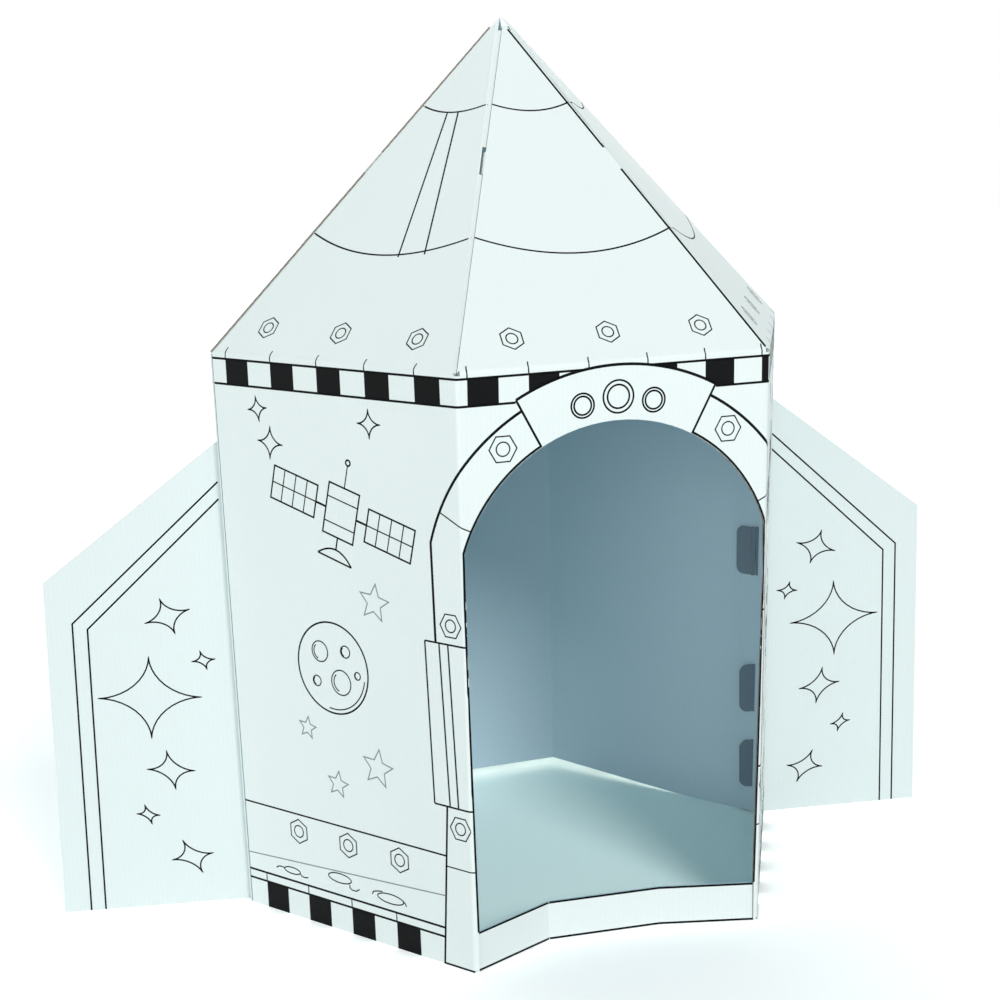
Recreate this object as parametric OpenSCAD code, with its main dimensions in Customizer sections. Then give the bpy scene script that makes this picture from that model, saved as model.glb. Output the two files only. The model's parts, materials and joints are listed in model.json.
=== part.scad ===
// Rocket playhouse folded from corrugated board.
// Six walls stand on a hexagon and lean out a little towards the eaves, where each one folds over
// into a roof triangle. Two sheets of three walls each make the house, and a fin stands on either side.
// Panels are counted from the doorway wall (0, facing -Y) to the right: 0, 1 and 5 are the front sheet.

/* [House] */
// Width of one wall at the eaves
side = 430; // [360:5:520]
// Height of the eaves above the floor
wall_h = 787; // [650:1:950]
// Height from the eaves to the point where the roof planes meet
roof_h = 438; // [360:1:520]
// Thickness of the corrugated board
board = 3; // [2:0.5:4]
// Width of the base as a share of the width at the eaves
base_taper = 0.96; // [0.94:0.01:0.99]
// Height of the back wall's lower edge above the floor
back_lift = 14; // [4:1:20]
// Distance behind the axis at which the lower edges of the back walls leave the floor
lift_from = 120; // [60:5:200]

/* [Doorway] */
// Height of the arch's crown above the floor
crown_z = 712; // [640:1:735]
// Radius of the arch
arch_r = 220; // [212:1:260]
// Half width of the doorway where the arch springs
door_half_top = 209; // [195:0.5:210]
// Half width of the doorway at the floor
door_half_base = 198; // [185:0.5:200]
// Height of the sill strip
sill_h = 54; // [35:1:80]
// Distance of the sill's creases from the middle
crease_x = 78; // [50:1:110]
// How far the left crease is pushed in
left_push = 58; // [10:1:70]
// How far the right crease is pushed in
right_push = 42; // [10:1:70]

/* [Joints between the sheets] */
// Width of the flap that turns inside the back wall
flap_w = 42; // [30:1:60]
// Clearance between layers of board
play = 0.4; // [0.3:0.1:0.8]

/* [Roof seams] */
// Width of the flange that tucks under the next triangle
flange_w = 38; // [20:1:60]
// Radius of the relief notches at the eaves
notch_r = 5; // [4.5:0.5:8]
// How far the tucked-over edge stays short of the ridge at the eaves
setback_eave = 1; // [0:0.5:4]
// How far the tucked-over edge stays short of the ridge at the tip
setback_tip = 6; // [3:0.5:10]
// How far the tucked-over triangle's tip stays below the roof planes' meeting point
tip_drop = 24; // [18:1:40]
// Length of a ridge tab
ridge_tab_l = 36; // [25:1:60]
// Distance from the eaves to the middle of a ridge tab, along the ridge
ridge_tab_pos = 341; // [250:1:420]
// Distance from the ridge at which a ridge tab bends down
ridge_tab_bend = 3.7; // [2:0.1:6]
// How far a ridge tab reaches inside
ridge_tab_depth = 20; // [12:1:30]
// Length by which the slot is longer than its tab, at the upper end
ridge_slot_spare = 11; // [3:1:15]

/* [Fins] */
// Distance of the fins' outer edges from the middle of the house
fin_tip_x = 662; // [560:1:760]
// Height of a fin's outer edge
fin_edge_h = 476; // [350:1:550]
// Height of a fin's sloped edge where it reaches the wall
fin_root_h = 671; // [600:1:720]
// Angle by which the left fin is swept back
left_sweep = 13; // [0:0.5:25]
// Angle by which the right fin is swept forward
right_sweep = 10.5; // [0:0.5:15]
// Distance of the fin slots from the corner of the house
slot_inset = 14; // [12:1:18]
// Height of a fin's tabs
fin_tab_h = 75; // [50:1:90]
// How far the straight tabs reach behind the wall's outer face
fin_tab_reach = 32; // [22:1:40]
// Length of the upper tab, folded flat against the wall inside
folded_tab_l = 34; // [20:1:40]
// Radius of the corners at the tabs' free ends
fin_tab_r = 12; // [4:1:18]
// Clearance around a fin's tab in its slot
slot_play = 0.5; // [0.4:0.1:1]

/* [Hidden] */

// Angle between one panel and the next
turn = 60;
// Distance from the axis to a wall's outer face at the eaves
apothem = side * cos(30);
// Angle of the walls from the vertical, and of the roof from the horizontal
lean = atan(apothem * (1 - base_taper) / wall_h);
slope = atan(roof_h / apothem);
// Length of a roof triangle from the eaves to the roof planes' meeting point
slant = roof_h / sin(slope);
// Angle of a ridge from the horizontal, and half the angle between two roof planes' normals
ridge_slope = atan(roof_h / side);
ridge_half_fold = acos(0.5 * pow(sin(slope), 2) + pow(cos(slope), 2)) / 2;
// Depth of the second and third layer of board below a panel's outer face
layer_2 = board + play;
layer_3 = 2 * (board + play);
// Size of the blocks that cut a panel off at its neighbour's face
reach = 3 * side;
below = 50;
// Half width and distance from the axis of a wall's foot
base_half = side / 2 * base_taper;
base_apothem = apothem * base_taper;
// Distance from the axis at which the folded triangles' tips end
tip_gap = 3;
// Height of the relief notches at the eaves
notch_h = 4;
// Top of the joint flaps, clear of the roof's flanges
flap_top = wall_h - 40;
// Heights of the middles of a fin's tabs
fin_tab_z = [81, 203, 420];
folded_tab = 2;
// Height at which the fins' planes are set against the leaning wall
slot_z = 250;
// Corner of the house and fin slot at that height, in plan
slot_corner = side * (base_taper + (1 - base_taper) * slot_z / wall_h);
slot_x = slot_corner - slot_inset * cos(turn);
slot_y = slot_inset * sin(turn);
// Directions of the fins in plan, from the slot outwards
left_angle = 180 - left_sweep;
right_angle = -right_sweep;
shell_white = "#f2f7f7";
fin_white = "#e6f1f1";

// Distance of a wall's face from the axis, at a height and a depth below its outer face
function wall_y(z, depth) = -base_apothem - tan(lean) * z + depth / cos(lean);
// Height of a roof face, at a distance from the axis and a depth below its outer face
function roof_z(y, depth) = wall_h + roof_h + tan(slope) * y - depth / cos(slope);
// Height and distance of the eaves fold, at a depth below the outer face
function eave_z(depth) = (wall_h + roof_h - tan(slope) * base_apothem
    + depth * (tan(slope) / cos(lean) - 1 / cos(slope))) / (1 + tan(slope) * tan(lean));
function eave_y(depth) = wall_y(eave_z(depth), depth);
// Half width of a roof triangle between its ridges, at a distance up the slope
function ridge_x(v) = side / 2 * (1 - v / slant);
// Point across a ridge, at a distance from it in a triangle's plane and a height over that plane
function from_ridge(s, h) = [
    s * cos(ridge_half_fold) + h * sin(ridge_half_fold),
    h * cos(ridge_half_fold) - s * sin(ridge_half_fold)
];
// Profile of a ridge tab across the ridge: along the triangle, round the bend and down
function ridge_tab_profile() =
    let (
        root = 14,
        pressed = 0.2,
        bend_r = board - 2 * pressed,
        steps = 6,
        sweep = 90 + ridge_half_fold,
        centre = from_ridge(ridge_tab_bend, -pressed - bend_r),
        outer = centre[0] - bend_r,
        inner = outer + board,
        inner_s = (inner + (board - pressed) * sin(ridge_half_fold)) / cos(ridge_half_fold)
    )
    concat(
        [from_ridge(root, -pressed)],
        [
            for (k = [0 : steps])
                let (a = ridge_half_fold - sweep * k / steps)
                centre + bend_r * [sin(a), cos(a)]
        ],
        [
            [outer, -ridge_tab_depth],
            [inner, -ridge_tab_depth],
            from_ridge(inner_s, pressed - board),
            from_ridge(root, pressed - board)
        ]
    );

// Draws a profile of distance and height along the width of a panel
module along_panel(i, width) {
    rotate([0, 0, turn * i])
        rotate([90, 0, 90])
            linear_extrude(width, center = true)
                children();
}

// Points of a panel's wall and roof faces at a depth below the outer face, from under the floor up
function face_line(depth) = [
    [wall_y(-below, depth), -below],
    [eave_y(depth), eave_z(depth)],
    [0, roof_z(0, depth)]
];

// Everything outside a panel's wall and roof faces, from a depth below them
module beyond(i, depth) {
    along_panel(i, reach)
        polygon(concat(face_line(depth), [[0, reach], [-reach, reach], [-reach, -below]]));
}

// Everything on the inner side of a wall's outer face, moved out by a clearance
module within_wall(i, clearance) {
    along_panel(i, reach)
        polygon([
            [wall_y(-below, -clearance), -below],
            [wall_y(wall_h, -clearance), wall_h],
            [apothem, wall_h],
            [apothem, -below]
        ]);
}

// A layer of wall board at a depth below the panel's outer face, standing on the floor
module wall_layer(i, depth) {
    outer = face_line(depth);
    inner = face_line(depth + board);
    difference() {
        along_panel(i, 2 * side)
            polygon([outer[0], outer[1], inner[1], inner[0]]);
        translate([-reach / 2, -reach / 2, -reach])
            cube([reach, reach, reach]);
    }
}

// A layer of roof board at a depth below the panel's outer face
module roof_layer(i, depth) {
    outer = face_line(depth);
    inner = face_line(depth + board);
    along_panel(i, 2 * side)
        polygon([outer[1], outer[2], inner[2], inner[1]]);
}

// Relief notch at the eaves, where two walls and two roof triangles meet right of a panel
module eave_notch(i) {
    rotate([0, 0, turn * (i - 1)])
        translate([side, 0, wall_h - notch_h])
            cylinder(r = notch_r, h = 3 * notch_h, $fn = 48);
}

// A wall cut off at its neighbours' faces, each at its own depth
module wall(i, left_depth, right_depth) {
    difference() {
        wall_layer(i, 0);
        beyond(i - 1, left_depth);
        beyond(i + 1, right_depth);
        eave_notch(i);
        eave_notch(i - 1);
    }
}

// A prism through a roof face, drawn as width and distance up the slope
module through_roof(i) {
    rotate([0, 0, turn * i])
        translate([0, -apothem, wall_h])
            rotate([slope, 0, 0])
                linear_extrude(2 * below, center = true)
                    children();
}

// Places its children on the ridge right of a panel: x up the ridge, z outwards
module on_ridge(i) {
    rotate([0, 0, turn * (i - 1)])
        translate([side, 0, wall_h])
            rotate([0, 0, 180])
                rotate([0, -ridge_slope, 0])
                    children();
}

// Ridge tab of a tucked-over triangle: bent down at its edge, through the slot in the ridge
module ridge_tab(i, tab_side) {
    on_ridge(i)
        translate([ridge_tab_pos - ridge_tab_l / 2, 0, 0])
            rotate([90, 0, 90])
                linear_extrude(ridge_tab_l)
                    polygon([for (p = ridge_tab_profile()) [tab_side * p[0], p[1]]]);
}

// Slot in a ridge fold for the next triangle's tab
module ridge_slot(i, tab_side) {
    fold_side = 3;
    flange_side = board + 0.5;
    on_ridge(i)
        translate([
            ridge_tab_pos - ridge_tab_l / 2 - 1,
            tab_side > 0 ? -fold_side : -flange_side,
            -ridge_tab_depth * 2
        ])
            cube([ridge_tab_l + 1 + ridge_slot_spare, fold_side + flange_side, ridge_tab_depth * 3]);
}

// Roof triangle that lies over its neighbours' flanges, with a tab into each ridge
module tucked_over_triangle(i) {
    tip_v = slant - tip_drop;
    eave_half = ridge_x(0) - setback_eave;
    tip_half = max(ridge_x(tip_v) - setback_tip, 1);
    intersection() {
        roof_layer(i, 0);
        through_roof(i)
            polygon([
                [-eave_half, -2 * board],
                [eave_half, -2 * board],
                [eave_half, 0],
                [tip_half, tip_v],
                [-tip_half, tip_v],
                [-eave_half, 0]
            ]);
    }
    ridge_tab(i, 1);
    ridge_tab(i - 1, -1);
}

// Flange that turns from a triangle's ridge under the neighbour on its left (-1) or right (1)
module ridge_flange(i, hand) {
    low_v = 30;
    full_v = low_v + 40;
    narrow_v = 0.78 * slant;
    high_v = 0.95 * slant;
    past_ridge = 10;
    inner_edge = ridge_x(narrow_v) - flange_w;
    difference() {
        intersection() {
            roof_layer(i + hand, layer_2);
            through_roof(i + hand)
                polygon([
                    [-hand * (ridge_x(low_v) + past_ridge), low_v],
                    [-hand * (ridge_x(full_v) - flange_w), full_v],
                    [-hand * inner_edge, narrow_v],
                    [-hand * inner_edge / 2, high_v],
                    [-hand * (ridge_x(high_v) + past_ridge), high_v]
                ]);
        }
        beyond(i, 0);
    }
}

// Roof triangle that folds at both ridges into slotted flanges
module folded_triangle(i) {
    difference() {
        union() {
            difference() {
                roof_layer(i, 0);
                beyond(i - 1, layer_2);
                beyond(i + 1, layer_2);
                rotate([0, 0, turn * i])
                    translate([-side, -tip_gap, 0])
                        cube([2 * side, side, reach]);
            }
            ridge_flange(i, 1);
            ridge_flange(i, -1);
        }
        ridge_slot(i, -1);
        ridge_slot(i - 1, 1);
    }
}

// The doorway: an arch over jambs that close in towards the floor
module doorway() {
    spring_z = crown_z - arch_r;
    rotate([90, 0, 0])
        linear_extrude(2 * apothem)
            intersection() {
                union() {
                    translate([0, spring_z])
                        circle(r = arch_r, $fn = 96);
                    translate([-arch_r, -below])
                        square([2 * arch_r, spring_z + below]);
                }
                polygon([
                    [-door_half_base, 0],
                    [-door_half_base, -below],
                    [door_half_base, -below],
                    [door_half_base, 0],
                    [door_half_top, spring_z],
                    [door_half_top, wall_h],
                    [-door_half_top, wall_h],
                    [-door_half_top, spring_z]
                ]);
            }
}

// Normal of a stretch in plan, pointing into the house
function inward(from, to) = [from[1] - to[1], to[0] - from[0]] / norm(to - from);
// Inner corner of the board where two stretches meet
function mitre(from, at, to) = at + board * (inward(from, at) + inward(at, to))
    / (1 + inward(from, at) * inward(at, to));

// Sill strip under the doorway, creased twice and pushed inwards, with its ends in the corner folds
module sill() {
    in_fold = 0.7;
    foot_y = -base_apothem;
    left_foot = [-base_half + in_fold, foot_y + in_fold];
    left_crease = [-crease_x, foot_y + left_push];
    right_crease = [crease_x, foot_y + right_push];
    right_foot = [base_half - in_fold, foot_y + in_fold];
    linear_extrude(sill_h)
        polygon([
            left_foot,
            left_crease,
            right_crease,
            right_foot,
            right_foot + board * inward(right_crease, right_foot),
            mitre(left_crease, right_crease, right_foot),
            mitre(left_foot, left_crease, right_crease),
            left_foot + board * inward(left_foot, left_crease)
        ]);
}

// Doorway wall, open below the arch, with the sill strip cut free of the jambs
module doorway_wall() {
    cut_w = 2;
    corner_w = 2 * board;
    difference() {
        wall(0, 0, 0);
        doorway();
        translate([-base_half + corner_w, -2 * apothem, -1])
            cube([2 * (base_half - corner_w), 2 * apothem, sill_h + cut_w + 1]);
    }
    sill();
}

// Flap that turns inside the back wall: panel i, at its left (-1) or right (1) end
module joint_flap(i, hand) {
    foot_gap = 3;
    start = base_half - flap_w;
    difference() {
        intersection() {
            wall_layer(i, layer_2);
            rotate([0, 0, turn * i])
                translate([hand > 0 ? start : -start - side, -reach / 2, foot_gap])
                    cube([side, reach, flap_top - foot_gap]);
        }
        beyond(i + hand, 0);
    }
}

// Places its children in a fin's plane: x outwards from the slot, y up
module in_fin_plane(hand, angle, thickness) {
    translate([hand * slot_x, slot_y, 0])
        rotate([0, 0, angle])
            rotate([90, 0, 0])
                linear_extrude(thickness, center = true)
                    children();
}

// Slots for a fin's tabs
module fin_slots(hand, angle) {
    for (z = fin_tab_z)
        in_fin_plane(hand, angle, board + 2 * slot_play)
            translate([-fin_tab_reach * 1.5, z - fin_tab_h / 2 - 1])
                square([fin_tab_reach * 2, fin_tab_h + 2]);
}

// Outline of a tab at a height, from its root to its free end with round corners
function tab_outline(root, free, z) =
    let (
        back = sign(root - free) * fin_tab_r,
        top = z + fin_tab_h / 2,
        bottom = z - fin_tab_h / 2,
        step = 90 / 8
    )
    concat(
        [[root, bottom], [root, top]],
        [for (a = [0 : step : 90]) [free + back * (1 - sin(a)), top - fin_tab_r * (1 - cos(a))]],
        [for (a = [0 : step : 90]) [free + back * (1 - cos(a)), bottom + fin_tab_r * (1 - sin(a))]]
    );

// The upper tab's end, folded flat on the joint flap inside
module folded_tab_end(i, hand) {
    root = -hand * (slot_corner / 2 - slot_inset - board);
    intersection() {
        wall_layer(i, layer_3);
        rotate([0, 0, turn * i])
            rotate([90, 0, 0])
                linear_extrude(reach, center = true)
                    polygon(tab_outline(root, root + hand * folded_tab_l, fin_tab_z[folded_tab]));
    }
}

// A fin: a sheet with a sloped upper edge, held by tabs through the back wall
module fin(hand, panel, angle) {
    fin_w = (fin_tip_x - slot_x) / abs(cos(angle));
    rise = (fin_root_h - fin_edge_h) / fin_w;
    stub = (layer_3 + board) / cos(turn / 2 + right_sweep);
    difference() {
        in_fin_plane(hand, angle, board)
            polygon([
                [-below, 0],
                [fin_w, 0],
                [fin_w, fin_edge_h],
                [-below, fin_root_h + rise * below]
            ]);
        within_wall(panel, play);
    }
    for (k = [0 : len(fin_tab_z) - 1])
        in_fin_plane(hand, angle, board)
            if (k == folded_tab)
                translate([-stub, fin_tab_z[k] - fin_tab_h / 2])
                    square([stub + slot_inset, fin_tab_h]);
            else
                polygon(tab_outline(slot_inset, -fin_tab_reach, fin_tab_z[k]));
    folded_tab_end(panel, hand);
}

module front_shell() {
    color(shell_white)
        difference() {
            union() {
                wall(5, layer_2, 0);
                doorway_wall();
                wall(1, 0, layer_2);
                folded_triangle(5);
                tucked_over_triangle(0);
                folded_triangle(1);
                joint_flap(4, 1);
                joint_flap(2, -1);
            }
            fin_slots(-1, left_angle);
            fin_slots(1, right_angle);
        }
}

module back_shell() {
    color(shell_white)
        difference() {
            union() {
                wall(2, 0, 0);
                wall(3, 0, 0);
                wall(4, 0, 0);
                tucked_over_triangle(2);
                folded_triangle(3);
                tucked_over_triangle(4);
            }
            fin_slots(-1, left_angle);
            fin_slots(1, right_angle);
            translate([0, lift_from, 0])
                rotate([atan(back_lift / (base_apothem - lift_from)), 0, 0])
                    translate([-reach / 2, 0, -reach])
                        cube([reach, reach, reach]);
        }
}

module left_fin() {
    color(fin_white)
        fin(-1, 4, left_angle);
}

module right_fin() {
    color(fin_white)
        fin(1, 2, right_angle);
}

front_shell();
back_shell();
left_fin();
right_fin();
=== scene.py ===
"""Looks of a rocket playhouse folded from white corrugated board and printed with outlines."""

from __future__ import annotations

import json
import logging
import math
from dataclasses import dataclass, field
from enum import Enum, IntEnum
from typing import Callable, Optional, Sequence

import bmesh
import bpy
from bmesh.types import BMEdge, BMesh, BMFace, BMVert
from bpy.types import Material, Node, NodeSocket, NodeTree, Object
from mathutils import Matrix, Vector
from mathutils.bvhtree import BVHTree

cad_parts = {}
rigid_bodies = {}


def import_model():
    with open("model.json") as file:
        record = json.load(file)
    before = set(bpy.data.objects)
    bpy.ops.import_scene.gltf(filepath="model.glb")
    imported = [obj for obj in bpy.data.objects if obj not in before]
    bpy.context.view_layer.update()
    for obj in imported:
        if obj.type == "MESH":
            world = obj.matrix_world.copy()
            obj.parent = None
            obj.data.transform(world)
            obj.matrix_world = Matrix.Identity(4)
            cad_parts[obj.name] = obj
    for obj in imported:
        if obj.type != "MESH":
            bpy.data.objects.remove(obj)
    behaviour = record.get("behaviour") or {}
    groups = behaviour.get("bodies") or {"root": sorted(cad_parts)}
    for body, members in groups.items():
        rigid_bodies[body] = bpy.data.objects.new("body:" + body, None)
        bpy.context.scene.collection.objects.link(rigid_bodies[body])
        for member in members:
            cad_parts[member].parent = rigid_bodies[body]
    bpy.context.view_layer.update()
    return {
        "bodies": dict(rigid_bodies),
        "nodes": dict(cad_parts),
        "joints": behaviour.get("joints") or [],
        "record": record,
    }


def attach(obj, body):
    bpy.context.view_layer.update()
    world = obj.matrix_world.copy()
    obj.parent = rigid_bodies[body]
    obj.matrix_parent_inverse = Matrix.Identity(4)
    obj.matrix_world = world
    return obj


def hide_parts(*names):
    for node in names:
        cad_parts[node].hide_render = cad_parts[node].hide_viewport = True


LOG = logging.getLogger("playhouse")
MM = 0.001
BODY = "root"
UV_NAME = "sheet"
FLUTE_PITCH_MM = 6.4
PANELS = 6
PANEL_TURN = 60.0
MERGE = 0.01 * MM
SLIVER = 0.02 * MM

Point = tuple[float, float]
Triple = tuple[float, float, float]
Curve = Callable[[float], float]
Placing = Callable[[float, float], Vector]


class Liner(IntEnum):
    """Surfaces of the board, in the order of a sheet's material slots."""

    OUTER = 0
    INNER = 1
    CUT = 2
    # SHADED holds a dark grey-blue liner: painted shade on faces inside the house.
    SHADED = 3


class Hand(IntEnum):
    """Side of the house, seen from the doorway."""

    LEFT = -1
    RIGHT = 1


class Pen(float, Enum):
    """Widths of the printed lines, in millimetres."""

    FINE = 1.7
    LINE = 2.4
    BOLD = 3.0
    HEAVY = 3.7


def linear(hex_colour: str) -> tuple[float, float, float, float]:
    """Turn an sRGB hex colour into linear RGBA.

    Args:
        hex_colour: Colour such as "#f2f7f7".

    Returns:
        Linear red, green, blue and an alpha of 1.
    """
    parts = [int(hex_colour[k : k + 2], 16) / 255 for k in (1, 3, 5)]
    lin = [c / 12.92 if c <= 0.04045 else ((c + 0.055) / 1.055) ** 2.4 for c in parts]
    return (lin[0], lin[1], lin[2], 1.0)


def add_node(
    tree: NodeTree,
    kind: str,
    settings: Optional[dict[str, object]] = None,
    inputs: Optional[dict[object, object]] = None,
) -> Node:
    """Add a node with its settings and its linked or constant inputs.

    Args:
        tree: Node tree of a material or world.
        kind: Node type, such as "ShaderNodeMath".
        settings: Attributes of the node.
        inputs: Values or output sockets by input name or index.

    Returns:
        The new node.
    """
    node = tree.nodes.new(kind)
    for name, value in (settings or {}).items():
        setattr(node, name, value)
    for key, value in (inputs or {}).items():
        if isinstance(value, NodeSocket):
            tree.links.new(value, node.inputs[key])
        else:
            node.inputs[key].default_value = value
    return node


def new_material(name: str, constants: dict[str, float]) -> tuple[Material, Node]:
    """Start a material from its shader.

    Args:
        name: The material's name.
        constants: Constant inputs of the shader.

    Returns:
        The material and its shader.
    """
    mat = bpy.data.materials.new(name)
    mat.use_nodes = True
    shader = mat.node_tree.nodes["Principled BSDF"]
    for key, value in constants.items():
        shader.inputs[key].default_value = value
    return mat, shader


def flute_wave(tree: NodeTree, across: NodeSocket) -> NodeSocket:
    """Give the wave of the fluting, from -1 to 1.

    Args:
        tree: Node tree of a material.
        across: Place across the flutes, in metres.

    Returns:
        The output that holds the wave.
    """
    turns = {0: across, 1: 2 * math.pi / (FLUTE_PITCH_MM * MM)}
    phase = add_node(tree, "ShaderNodeMath", {"operation": "MULTIPLY"}, turns).outputs[0]
    return add_node(tree, "ShaderNodeMath", {"operation": "SINE"}, {0: phase}).outputs[0]


@dataclass(frozen=True)
class HouseForm:
    """Planes of the house in metres: six leaning walls and six roof triangles."""

    side: float = 0.430
    wall_h: float = 0.787
    roof_h: float = 0.438
    base_taper: float = 0.96
    board: float = 0.003
    back_lift: float = 0.014
    lift_from: float = 0.120

    @property
    def apothem(self) -> float:
        """Distance of a wall from the axis at the eaves."""
        return self.side * math.cos(math.pi / 6)

    @property
    def lean(self) -> float:
        """Angle of the walls from the vertical."""
        return math.atan(self.apothem * (1 - self.base_taper) / self.wall_h)

    @property
    def slope(self) -> float:
        """Angle of the roof from the horizontal."""
        return math.atan(self.roof_h / self.apothem)

    @property
    def slant_mm(self) -> float:
        """Length of a roof triangle up its middle, in millimetres."""
        return self.roof_h / math.sin(self.slope) / MM

    @property
    def eave_mm(self) -> float:
        """Half the width of a wall at the eaves, in millimetres."""
        return self.side / MM / 2

    def half_mm(self, up: float) -> float:
        """Half the width of a wall at a distance up its face, both in millimetres."""
        share = self.base_taper + (1 - self.base_taper) * (up * MM) / self.wall_h
        return self.eave_mm * share

    def panel_frame(self, panel: int, start: Triple, tilt: float) -> Matrix:
        """Give the frame of a panel's outer face.

        Args:
            panel: Number of the panel, counted to the right from the doorway wall.
            start: Middle of the doorway panel's lower edge.
            tilt: Angle of the panel from the floor.

        Returns:
            Matrix with X to the right, Y up the face and Z outwards, from the middle of the edge.
        """
        turn = Matrix.Rotation(math.radians(PANEL_TURN * panel), 4, "Z")
        return turn @ Matrix.Translation(start) @ Matrix.Rotation(tilt, 4, "X")

    def wall_frame(self, panel: int) -> Matrix:
        """Give the frame of a wall's outer face, from its foot."""
        return self.panel_frame(panel, (0, -self.apothem * self.base_taper, 0), math.pi / 2 + self.lean)

    def roof_frame(self, panel: int) -> Matrix:
        """Give the frame of a roof triangle's outer face, from the eaves."""
        return self.panel_frame(panel, (0, -self.apothem, self.wall_h), self.slope)


@dataclass(frozen=True)
class LinerFinish:
    """White clay-coated liner of corrugated board: satin, cool white, with the flutes just showing as
    bumps and as painted shade in the colour.
    """

    name: str
    hex_colour: str
    shade_hex: str
    roughness: float = 0.62
    ior: float = 1.47
    flute_rise_mm: float = 0.022
    flute_shade_tone: float = 0.12
    fibre_mm: float = 2.2
    fibre_rise_mm: float = 0.03
    warp_mm: float = 170.0
    warp_rise_mm: float = 3.0

    def material(self) -> Material:
        """Make the liner's material.

        Returns:
            A material with flute ripple, paper fibre and the gentle warp of a large sheet.
        """
        mat, shader = new_material(self.name, {"Roughness": self.roughness, "IOR": self.ior})
        tree = mat.node_tree
        place = add_node(tree, "ShaderNodeTexCoord").outputs["Object"]
        sheet = add_node(tree, "ShaderNodeUVMap", {"uv_map": UV_NAME}).outputs["UV"]
        across = add_node(tree, "ShaderNodeSeparateXYZ", None, {0: sheet}).outputs["X"]
        ripple = flute_wave(tree, across)
        fine = {"Vector": place, "Scale": 1 / (self.fibre_mm * MM), "Detail": 4.0, "Roughness": 0.6}
        fibre = add_node(tree, "ShaderNodeTexNoise", None, fine).outputs["Fac"]
        broad = {"Vector": place, "Scale": 1 / (self.warp_mm * MM), "Detail": 1.0}
        warp = add_node(tree, "ShaderNodeTexNoise", None, broad).outputs["Fac"]
        # Heights in millimetres: ripple, fibre and warp add up before the bump.
        height: object = 0.0
        rises = (self.flute_rise_mm, self.fibre_rise_mm, self.warp_rise_mm)
        for pattern, rise in zip((ripple, fibre, warp), rises):
            sums = {0: pattern, 1: rise, 2: height}
            height = add_node(tree, "ShaderNodeMath", {"operation": "MULTIPLY_ADD"}, sums).outputs[0]
        bump = add_node(tree, "ShaderNodeBump", None, {"Strength": 1.0, "Distance": MM, "Height": height})
        # The colour darkens with the flute ripple, as painted shade of the washboarding, and varies with
        # the fibre's own random tone.
        tones = {0: ripple, 1: self.flute_shade_tone, 2: fibre}
        tone = add_node(tree, "ShaderNodeMath", {"operation": "MULTIPLY_ADD"}, tones).outputs[0]
        whites = {0: tone, 6: linear(self.hex_colour), 7: linear(self.shade_hex)}
        colour = add_node(tree, "ShaderNodeMix", {"data_type": "RGBA"}, whites).outputs[2]
        tree.links.new(colour, shader.inputs["Base Color"])
        tree.links.new(bump.outputs["Normal"], shader.inputs["Normal"])
        return mat


@dataclass(frozen=True)
class CutEdgeFinish:
    """Cut edge of corrugated board: pale liners with the brown fluting waving between them, and painted
    shade in the hollows beside the fluting.

    Places through the board are shares of its thickness.
    """

    name: str = "corrugated_cut_edge"
    liner_hex: str = "#dce1de"
    flute_hex: str = "#a59a8a"
    hollow_shade_hex: str = "#6e675d"
    swing: float = 0.34
    middle: float = 0.5
    flute_edge: Point = (0.08, 0.2)
    liner_edge: Point = (0.36, 0.42)
    roughness: float = 0.85

    def material(self) -> Material:
        """Make the cut edge's material from the place across the flutes and through the thickness.

        Returns:
            A material that shows both liners and the wave of the fluting.
        """
        mat, shader = new_material(self.name, {"Roughness": self.roughness})
        tree = mat.node_tree
        sheet = add_node(tree, "ShaderNodeUVMap", {"uv_map": UV_NAME}).outputs["UV"]
        split = add_node(tree, "ShaderNodeSeparateXYZ", None, {0: sheet})
        wave = flute_wave(tree, split.outputs["X"])
        course = {0: wave, 1: self.swing, 2: self.middle}
        flute = add_node(tree, "ShaderNodeMath", {"operation": "MULTIPLY_ADD"}, course).outputs[0]
        shares = []
        for middle, (near, far) in ((flute, self.flute_edge), (self.middle, self.liner_edge)):
            gap = {0: split.outputs["Y"], 1: middle}
            off = add_node(tree, "ShaderNodeMath", {"operation": "SUBTRACT"}, gap).outputs[0]
            away = add_node(tree, "ShaderNodeMath", {"operation": "ABSOLUTE"}, {0: off}).outputs[0]
            edge = {"Value": away, "From Min": near, "From Max": far}
            smooth = {"interpolation_type": "SMOOTHSTEP"}
            shares.append(add_node(tree, "ShaderNodeMapRange", smooth, edge).outputs[0])
        # Away from the flute the edge takes a dark colour: painted shade in the corrugation's empty
        # hollows.
        flute_and_hollow_shade = {0: shares[0], 6: linear(self.flute_hex), 7: linear(self.hollow_shade_hex)}
        core = add_node(tree, "ShaderNodeMix", {"data_type": "RGBA"}, flute_and_hollow_shade).outputs[2]
        layers = {0: shares[1], 6: core, 7: linear(self.liner_hex)}
        colour = add_node(tree, "ShaderNodeMix", {"data_type": "RGBA"}, layers).outputs[2]
        tree.links.new(colour, shader.inputs["Base Color"])
        return mat


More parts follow.
